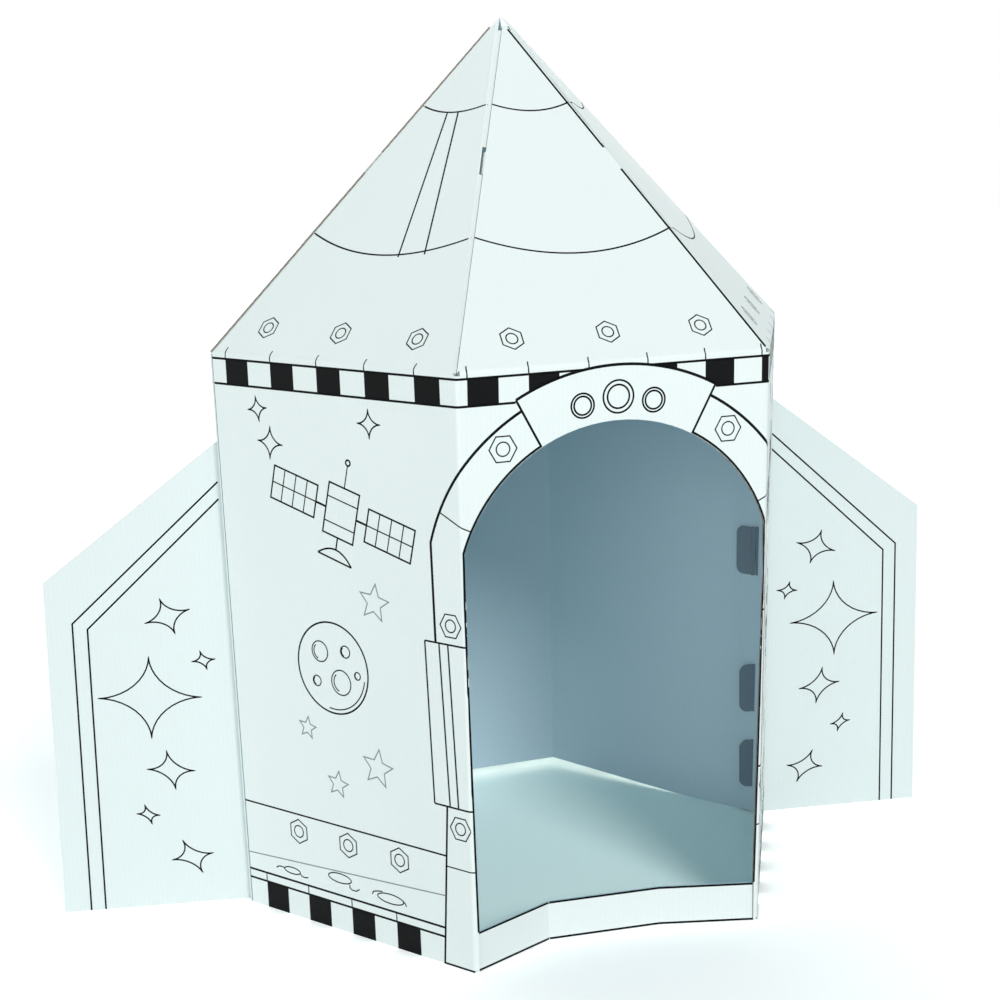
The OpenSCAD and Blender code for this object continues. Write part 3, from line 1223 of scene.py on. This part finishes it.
@dataclass
class SpacePrint:
    """Stars, satellite, moon and ground craters printed on a front side wall, in millimetres."""

    # Place, half the height, and tilt.
    sparkles: tuple[tuple[float, ...], ...] = (
        (-131, 716, 16, 8),
        (-111, 672, 21, -4),
        (67, 712, 18, 1),
    )
    sparkle_width: float = 1.03
    # Place and radius.
    stars: tuple[Triple, ...] = ((61, 477, 28), (-72, 284, 18), (53, 250, 29), (-21, 213, 21))
    star_tilt: float = 8.0
    satellite_at: Point = (11.0, 590.0)
    satellite_tilt: float = -14.0
    body: Point = (28.0, 36.0)
    body_lines: Point = (16.0, -18.0)
    # Near end, far end and half the depth.
    wing: Triple = (44.0, 126.0, 24.0)
    # Half the width, height of the rim and depth of the bowl.
    dish: Triple = (30.0, -66.0, 14.0)
    dish_stem: float = -52.0
    dish_steps: int = 20
    # End of the rod, middle of the knob and the knob's radius.
    aerial: Triple = (66.0, 70.0, 5.0)
    moon_at: Point = (-19.0, 376.0)
    moon_r: float = 64.0
    # Place from the moon's middle, and radius.
    moon_craters: tuple[Triple, ...] = (
        (-22, 20, 15),
        (24, 26, 9),
        (14, -18, 18),
        (-30, -22, 8),
        (44, -4, 6),
    )
    # Share of a crater's radius and the arc's ends, then the same for the moon with a radius.
    crater_shade: Triple = (0.72, 200.0, 320.0)
    moon_shade: Triple = (57.0, 100.0, 190.0)
    # Middle, and half the length and width.
    ground_craters: tuple[tuple[Point, Point], ...] = (
        ((-118.0, 66.5), (16.0, 5.5)),
        ((-27.5, 76.5), (22.0, 7.5)),
        ((64.0, 68.5), (24.0, 7.5)),
    )
    ground_rims: tuple[tuple[Point, ...], ...] = (
        ((-149, 64), (-145, 67), (-139, 68), (-132, 67)),
        ((-104, 65), (-99, 62), (-94, 61.5), (-88, 63)),
        ((-10, 71), (-9.5, 67), (-6, 64.5), (2, 64.5), (8, 68.5)),
        ((31, 68), (34, 72.5), (41, 74.5), (50, 76)),
        ((86, 71), (90, 68), (92, 64)),
    )

    def draw(self, black: PrintSheet, grey: PrintSheet) -> None:
        """Draw all of the wall's pictures.

        Args:
            black: The wall's drawing in black.
            grey: The wall's drawing in grey.
        """
        for x, z, size, tilt in self.sparkles:
            black.sparkle((x, z), (size, size * self.sparkle_width), (tilt, tilt))
        for x, z, size in self.stars:
            grey.five_star((x, z), size, self.star_tilt)
        self.satellite(black)
        self.moon(black)
        for centre, half_size in self.ground_craters:
            black.oval(centre, half_size)
        for rim in self.ground_rims:
            black.stroke(rim, Pen.FINE)

    def satellite(self, sheet: PrintSheet) -> None:
        """Draw a satellite with two wings, a dish and an aerial.

        Args:
            sheet: The wall's drawing.
        """
        wide, tall = self.body
        near, far, deep = self.wing
        rim, low, bowl = self.dish
        tip, knob, knob_r = self.aerial

        def place(*points: Point) -> list[Point]:
            """Turn points with the satellite and set them in its place."""
            return turned(points, self.satellite_at, self.satellite_tilt)

        sheet.outline(place((-wide, -tall), (wide, -tall), (wide, tall), (-wide, tall)))
        for y in self.body_lines:
            sheet.stroke(place((-wide, y), (wide, y)), Pen.FINE)
        for hand in Hand:
            left, right = sorted((hand * near, hand * far))
            sheet.outline(place((left, -deep), (right, -deep), (right, deep), (left, deep)))
            for x in spread(left, right, 4)[1:-1]:
                sheet.stroke(place((x, 1 - deep), (x, deep - 1)), Pen.FINE)
            sheet.stroke(place((left, 0), (right, 0)), Pen.FINE)
            sheet.stroke(place((hand * wide, 0), (hand * near, 0)), Pen.BOLD)
        sheet.stroke(place((0, -tall), (0, self.dish_stem)))
        hollow = [(rim * t, low + bowl * (1 - t * t)) for t in spread(-1, 1, self.dish_steps)]
        sheet.stroke(place(*hollow))
        sheet.stroke(place((-rim, low), (rim, low)))
        sheet.stroke(place((0, tall), (0, tip)), Pen.FINE)
        sheet.ring(place((0, knob))[0], knob_r)

    def moon(self, sheet: PrintSheet) -> None:
        """Draw a moon with craters.

        Args:
            sheet: The wall's drawing.
        """
        share, first, last = self.crater_shade
        sheet.ring(self.moon_at, self.moon_r)
        for x, y, radius in self.moon_craters:
            centre = (self.moon_at[0] + x, self.moon_at[1] + y)
            sheet.ring(centre, radius, Pen.FINE)
            sheet.stroke(arc(centre, radius * share, first, last), Pen.FINE)
        sheet.stroke(arc(self.moon_at, *self.moon_shade), Pen.FINE)


@dataclass
class FrontShell(FoldedSheet):
    """Front sheet: the doorway wall, the two walls beside it and their roof triangles."""

    bands: WallBands = field(default_factory=WallBands)
    space: SpacePrint = field(default_factory=SpacePrint)
    door_row: Row = Row(14.0, 81.0, 6)
    foot_row: Row = Row(37.0, 81.0, 4)
    foot_nuts: Triple = (105.73, 197.88, 290.03)
    line_gap: float = 0.5
    # Left end from the edge of the wall, and height at the right end.
    ground_line: tuple[Point, float] = ((1.0, 76.0), 97.0)
    bend_lines: tuple[float, ...] = (-4.0, -2.0, 0.0, 2.0, 4.0)

    def side_drawing(self, doorway: DoorwayPrint) -> tuple[PrintSheet, PrintSheet]:
        """Draw the print of the wall left of the doorway.

        Args:
            doorway: The print of the doorway, whose plate reaches over the fold.

        Returns:
            The black lines and the grey lines, from the middle of the wall.
        """
        black, grey = PrintSheet(), PrintSheet()
        foot = self.form.half_mm(0)
        self.bands.eaves(black, self.bands.starts(self.form), self.form.eave_mm)

        def plate(z: float) -> float:
            """Give the place of the jamb plate's outer line at a height."""
            return self.form.half_mm(z) - doorway.plate_edge(z)

        self.bands.foot(black, self.foot_row.places(-foot), (self.line_gap - foot, plate))
        for x in self.foot_nuts:
            black.nut((x - foot, self.bands.nut_z), self.bands.nut_r, 0.0)
        (x, low), high = self.ground_line
        grey.stroke([(x - foot, low), (plate(high), high)], Pen.FINE)
        self.space.draw(black, grey)
        return black, grey

    def lay_doorway(self, film: InkFilm, doorway: DoorwayPrint) -> None:
        """Print the doorway wall, with what runs over its corner folds.

        Args:
            film: The sheet's black print.
            doorway: The print of the doorway.
        """
        front = PrintSheet()
        doorway.arch(front)
        doorway.jambs(front)
        foot, eave = self.form.half_mm(0), self.form.eave_mm
        rise = self.form.wall_h / MM
        facing = {hand: Vector((hand * rise, foot - eave)).normalized() for hand in Hand}
        for hand in Hand:
            for away in self.bend_lines:
                front.divide((hand * (foot + away), 0), facing[hand])
        middle = front.copy()
        for hand in Hand:
            fold = (hand * foot, 0)
            middle.divide(fold, facing[hand], cut_off=True)
            beside = front.copy()
            beside.divide(fold, -facing[hand], cut_off=True)
            film.lay(beside, self.on_wall(hand % PANELS, -hand))
        film.lay(middle, self.on_wall(0))
        film.lay(doorway.sill(), doorway.on_sill())

    def print_all(self, surface: BVHTree) -> None:
        """Print the sheet's three walls and three roof triangles.

        Args:
            surface: The board's surface.
        """
        black = InkFilm("front_print", surface)
        grey = InkFilm("front_fine_print", surface)
        doorway, roof = DoorwayPrint(self.form), RoofPrint(self.form)
        self.lay_doorway(black, doorway)
        over_door = self.door_row.places(-self.form.eave_mm)
        band = PrintSheet()
        self.bands.eaves(band, over_door, self.form.eave_mm, doorway.cover)
        black.lay(band, self.on_wall(0))
        for film, side in zip((black, grey), self.side_drawing(doorway)):
            film.lay(side, self.on_wall(5))
            film.lay(side.mirrored(), self.on_wall(1))
        starts = self.bands.starts(self.form)
        triangles = {5: starts, 0: over_door, 1: [-x for x in starts]}
        for panel, ticks in triangles.items():
            sheet = roof.draw()
            self.bands.ticks(sheet, ticks)
            if panel == 5:
                roof.stripe(sheet)
            if panel == 0:
                roof.right_edge(sheet)
            black.lay(sheet, self.on_roof(panel))
        black.finish(self.finishes.black)
        grey.finish(self.finishes.grey)


@dataclass
class BackShell(FoldedSheet):
    """Back sheet: three walls and their roof triangles."""

    bands: WallBands = field(default_factory=WallBands)
    foot_row: Row = Row(-143.5, 82.0, 4)
    foot_nuts: Triple = (-95.0, 0.0, 95.0)
    line_gap: float = 0.5
    slot_room: float = 26.0

    def wall_drawing(self, panel: int) -> PrintSheet:
        """Draw the print of a back wall, from its middle.

        Args:
            panel: Number of the wall.

        Returns:
            The drawing.
        """
        sheet = PrintSheet()
        form = self.form
        frame = form.wall_frame(panel)
        steep = form.back_lift / (form.apothem * form.base_taper - form.lift_from)

        def raised(x: float) -> float:
            """Give the height of the wall's foot over the floor."""
            back = (frame @ Vector((x * MM, 0, 0))).y - form.lift_from
            return max(back, 0.0) * steep / MM

        left = self.slot_room if panel == 2 else self.line_gap
        right = self.slot_room if panel == 4 else self.line_gap
        self.bands.eaves(sheet, self.bands.starts(form), form.eave_mm)
        ends = (left - form.half_mm(0), lambda z: form.half_mm(z) - right)
        self.bands.foot(sheet, self.foot_row.places(), ends, raised)
        for x in self.foot_nuts:
            sheet.nut((x, self.bands.nut_z), self.bands.nut_r, 0.0)
        return sheet

    def print_all(self, surface: BVHTree) -> None:
        """Print the sheet's three walls and three roof triangles.

        Args:
            surface: The board's surface.
        """
        black = InkFilm("back_print", surface)
        for panel in (2, 3, 4):
            black.lay(self.wall_drawing(panel), self.on_wall(panel))
            sheet = RoofPrint(self.form).draw()
            self.bands.ticks(sheet, self.bands.starts(self.form))
            black.lay(sheet, self.on_roof(panel))
        black.finish(self.finishes.black)


@dataclass
class Fin(FoldedSheet):
    """Flat fin with a sloped upper edge, printed with a border and stars on both faces."""

    hand: Hand = Hand.LEFT
    angle: float = 167.0
    slot_x: float = 0.41126
    slot_y: float = 0.01212
    tip_x: float = 0.662
    border: Point = (36.0, 56.0)
    border_foot: float = 0.5
    corner_z: Point = (418.0, 409.0)
    root_z: Point = (606.0, 582.0)
    root_gap: float = 14.0
    # Place, half the height and the width, and tilts of the level and the upright axis.
    stars: tuple[tuple[float, ...], ...] = (
        (165, 421, 26, 31, 15, 20),
        (211, 355, 13, 15, 3, 18),
        (135, 306, 58, 70, -3, -1),
        (158, 199, 28, 32, -6, 10),
        (123, 136, 14, 15, -8, 17),
        (181, 69, 27, 28, 6, 27),
    )

    @property
    def face(self) -> Material:
        """Finish of the fin's printed faces."""
        return self.finishes.fin

    @property
    def width(self) -> float:
        """Distance from the slot to the outer edge, along the sheet."""
        return (self.tip_x - self.slot_x) / abs(math.cos(math.radians(self.angle)))

    def frame_of(self, point: Vector) -> Matrix:
        """Give the frame of the fin's front face, from its outer lower corner.

        Args:
            point: Not used; the fin has a single frame.

        Returns:
            Matrix with X towards the right, Y up and Z towards the front.
        """
        out = math.radians(self.angle)
        root = Vector((self.hand * self.slot_x, self.slot_y, 0))
        edge = root + Vector((math.cos(out), math.sin(out), 0)) * self.width
        facing = out + math.pi if self.hand is Hand.LEFT else out
        turn = Matrix.Rotation(facing, 4, "Z") @ Matrix.Rotation(math.pi / 2, 4, "X")
        front = Matrix.Translation((0, 0, self.form.board / 2))
        return Matrix.Translation(edge) @ turn @ front

    def mark(self, bm: BMesh) -> None:
        """Mark the fin's faces: white outside the wall, painted dark shade on the tabs inside it.

        Args:
            bm: The merged sheet.
        """
        wall = self.form.wall_frame(4 if self.hand is Hand.LEFT else 2)
        outwards = wall.col[2].to_3d()
        everything = bm.verts[:] + bm.edges[:] + bm.faces[:]
        bmesh.ops.bisect_plane(bm, geom=everything, plane_co=wall.translation, plane_no=outwards)
        for face in bm.faces:
            away = (face.calc_center_median() - wall.translation).dot(outwards)
            # Tab faces inside the wall get a dark grey-blue liner: painted shade.
            side = Liner.OUTER if away > 0 else Liner.SHADED
            face.material_index = Liner.CUT if self.is_cut(face) else side

    def drawing(self) -> PrintSheet:
        """Draw the border and the stars.

        Returns:
            The drawing, from the outer edge inwards.
        """
        sheet = PrintSheet()
        inner = self.width / MM - self.root_gap
        for inset, corner, root in zip(self.border, self.corner_z, self.root_z):
            sheet.stroke([(inset, self.border_foot), (inset, corner), (inner, root)])
        for x, z, tall, wide, level, upright in self.stars:
            sheet.sparkle((x, z), (tall, wide), (level, upright))
        return sheet

    def print_all(self, surface: BVHTree) -> None:
        """Print both faces of the fin.

        Args:
            surface: The board's surface.
        """
        film = InkFilm(self.node + "_print", surface)
        drawing = self.drawing()
        if self.hand is Hand.RIGHT:
            drawing = drawing.mirrored()
        for depth in (0.0, self.form.board):
            film.lay(drawing, flat_on(self.frame_of(Vector()), depth))
        film.finish(self.finishes.black)


def seen_directly(tree: NodeTree) -> NodeSocket:
    """Give 1 for what is seen by eye, in a reflection or through glass, and 0 for light.

    Args:
        tree: Node tree of a material or world.

    Returns:
        The output that holds the share.
    """
    path = add_node(tree, "ShaderNodeLightPath")
    seen = path.outputs["Is Camera Ray"]
    for ray in ("Is Glossy Ray", "Is Transmission Ray"):
        either = {0: seen, 1: path.outputs[ray]}
        seen = add_node(tree, "ShaderNodeMath", {"operation": "MAXIMUM"}, either).outputs[0]
    return seen


@dataclass(frozen=True)
class SoftLamp:
    """A far, large softbox: where it hangs, how strong it is and how wide it looks, in degrees."""

    name: str
    bearing: float
    height: float
    strength: float
    softness: float


@dataclass
class Studio:
    """White studio: floor, soft lights and the camera of the picture."""

    eye: Triple = (-1.0470, -2.6527, 1.1261)
    yaw: float = 21.213
    pitch: float = 11.572
    roll: float = -1.393
    focal_px: float = 2020.0
    frame_px: float = 1000.0
    sensor_mm: float = 36.0
    far_clip: float = 60.0
    floor_hex: str = "#e8ecec"
    floor_roughness: float = 0.9
    floor_reach: float = 12.0
    floor_seen: Triple = (1.5, 1.5, 1.5)
    floor_inside_shade_tint: Triple = (1.16, 1.36, 1.30)
    # For each wall: distance from the axis at which the floor inside, with its painted shade tint, ends,
    # and width of the blend.
    plan_edges: tuple[Point, ...] = (
        (0.24, 0.05),
        (0.346, 0.012),
        *((0.375, 0.075) for _ in range(3)),
        (0.30, 0.06),
    )
    lamps: tuple[SoftLamp, ...] = (
        SoftLamp("key", 5.0, 31.0, 1.45, 20.0),
        SoftLamp("fill", -35.0, 4.0, 0.75, 36.0),
        SoftLamp("side", -80.0, 4.0, 0.55, 60.0),
        SoftLamp("back", 168.0, 22.0, 1.4, 60.0),
    )
    lamp_distance: float = 4.0
    sky_hex: str = "#ecfcfc"
    sky_strength: float = 0.37
    backdrop_hex: str = "#ffffff"

    def camera(self) -> None:
        """Set up the camera at the picture's viewing angle."""
        data = bpy.data.cameras.new("camera")
        data.sensor_width = self.sensor_mm
        data.lens = self.focal_px * self.sensor_mm / self.frame_px
        data.clip_end = self.far_clip
        camera = bpy.data.objects.new("camera", data)
        yaw, pitch, roll = (math.radians(a) for a in (self.yaw, self.pitch, self.roll))
        ahead = math.cos(pitch)
        forward = Vector((math.sin(yaw) * ahead, math.cos(yaw) * ahead, -math.sin(pitch)))
        level = Vector((math.cos(yaw), -math.sin(yaw), 0))
        upright = level.cross(forward)
        right = math.cos(roll) * level + math.sin(roll) * upright
        up = -math.sin(roll) * level + math.cos(roll) * upright
        axes = Matrix((right, up, -forward)).transposed().to_4x4()
        camera.matrix_world = Matrix.Translation(self.eye) @ axes
        bpy.context.scene.collection.objects.link(camera)
        bpy.context.scene.camera = camera

    def floor_material(self) -> Material:
        """Make the matt paint of the floor, white to the camera around the house.

        Returns:
            A material that is paler to the eye than to the light, and dimmer and cyan inside the house:
            painted shade.
        """
        mat, shader = new_material("matt_studio_floor", {"Roughness": self.floor_roughness})
        tree = mat.node_tree
        place = add_node(tree, "ShaderNodeTexCoord").outputs["Object"]
        # Inside the house the camera sees a dimmer cyan floor, painted shade of the interior, blending
        # out past the walls.
        # Share of the way from the floor inside to the floor outside, across each wall. It
        # begins further out at the back walls, which stand off the floor.
        off: Optional[NodeSocket] = None
        for panel, (start, blend) in enumerate(self.plan_edges):
            turn = math.radians(PANEL_TURN * panel)
            across = {0: place, 1: (math.sin(turn) / blend, -math.cos(turn) / blend, 0.0)}
            dot = add_node(tree, "ShaderNodeVectorMath", {"operation": "DOT_PRODUCT"}, across)
            past = {0: dot.outputs["Value"], 1: start / blend}
            reach = add_node(tree, "ShaderNodeMath", {"operation": "SUBTRACT"}, past).outputs[0]
            if off is not None:
                both = {0: off, 1: reach}
                reach = add_node(tree, "ShaderNodeMath", {"operation": "MAXIMUM"}, both).outputs[0]
            off = reach
        smooth = {"interpolation_type": "SMOOTHSTEP"}
        outside = add_node(tree, "ShaderNodeMapRange", smooth, {"Value": off}).outputs["Result"]
        whites = {0: outside, 6: (*self.floor_inside_shade_tint, 1.0), 7: (*self.floor_seen, 1.0)}
        seen = add_node(tree, "ShaderNodeMix", {"data_type": "RGBA"}, whites).outputs[2]
        # The camera sees a lifted white, so that the lit floor meets the white backdrop.
        tones = {0: seen_directly(tree), 6: linear(self.floor_hex), 7: seen}
        tone = add_node(tree, "ShaderNodeMix", {"data_type": "RGBA"}, tones).outputs[2]
        tree.links.new(tone, shader.inputs["Base Color"])
        return mat

    def floor(self) -> None:
        """Lay the floor."""
        bm = bmesh.new()
        bmesh.ops.create_grid(bm, x_segments=4, y_segments=4, size=self.floor_reach)
        floor = add_object("studio_floor", bm, [self.floor_material()])

    def lights(self) -> None:
        """Hang the large soft lamps around the house."""
        for lamp in self.lamps:
            data = bpy.data.lights.new(lamp.name, "SUN")
            data.energy = lamp.strength
            data.angle = math.radians(lamp.softness)
            hung = bpy.data.objects.new(lamp.name, data)
            bearing, height = math.radians(lamp.bearing), math.radians(lamp.height)
            out = math.cos(height)
            towards = Vector((math.sin(bearing) * out, -math.cos(bearing) * out, math.sin(height)))
            hung.location = towards * self.lamp_distance
            hung.rotation_euler = (-towards).to_track_quat("-Z", "Y").to_euler()
            bpy.context.scene.collection.objects.link(hung)

    def world(self) -> None:
        """Light the room evenly, and show pure white to the camera."""
        world = bpy.data.worlds.new("studio")
        bpy.context.scene.world = world
        world.use_nodes = True
        tree = world.node_tree
        tree.nodes.clear()
        sides = {0: seen_directly(tree)}
        for side, hex_colour, strength in (
            (1, self.sky_hex, self.sky_strength),
            (2, self.backdrop_hex, 1.0),
        ):
            light = {"Color": linear(hex_colour), "Strength": strength}
            sides[side] = add_node(tree, "ShaderNodeBackground", None, light).outputs[0]
        mix = add_node(tree, "ShaderNodeMixShader", None, sides).outputs[0]
        add_node(tree, "ShaderNodeOutputWorld", None, {"Surface": mix})

    def set_up(self) -> None:
        """Build the whole studio."""
        self.camera()
        self.floor()
        self.lights()
        self.world()
        bpy.context.scene.view_settings.view_transform = "Standard"


def main() -> None:
    """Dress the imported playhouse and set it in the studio."""
    logging.basicConfig(level=logging.INFO, format="%(name)s: %(message)s")
    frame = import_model()
    form = HouseForm()
    finishes = Finishes(
        outer=LinerFinish("white_coated_liner", "#eff6f5", "#e8f0ef").material(),
        fin=LinerFinish("white_fin_liner", "#e2eaea", "#dbe4e4").material(),
        # The inside faces take a cyan-blue copy of the white board: painted shade tint of the interior.
        inner=LinerFinish("inner_liner_painted_shade_tint", "#d3ecf6", "#c9e4ee").material(),
        cut=CutEdgeFinish().material(),
        # A dark grey-blue copy of the white board for the fin tabs: painted shade.
        shaded=LinerFinish("fin_tab_painted_shade", "#8496a2", "#788a96").material(),
        black=InkFinish("black_flexo_ink", "#040506", "#0c0e0f").material(),
        grey=InkFinish("grey_flexo_ink", "#7d8788", "#949d9e").material(),
    )
    sheets: list[FoldedSheet] = [
        FrontShell("front_shell", "shell_board", form, finishes),
        BackShell("back_shell", "shell_board", form, finishes),
        Fin("left_fin", "fin_board", form, finishes, hand=Hand.LEFT, angle=167.0),
        Fin("right_fin", "fin_board", form, finishes, hand=Hand.RIGHT, angle=-10.5),
    ]
    for sheet in sheets:
        sheet.print_all(sheet.dress(frame["nodes"][sheet.node]))
    Studio().set_up()


if __name__ == "__main__":
    main()
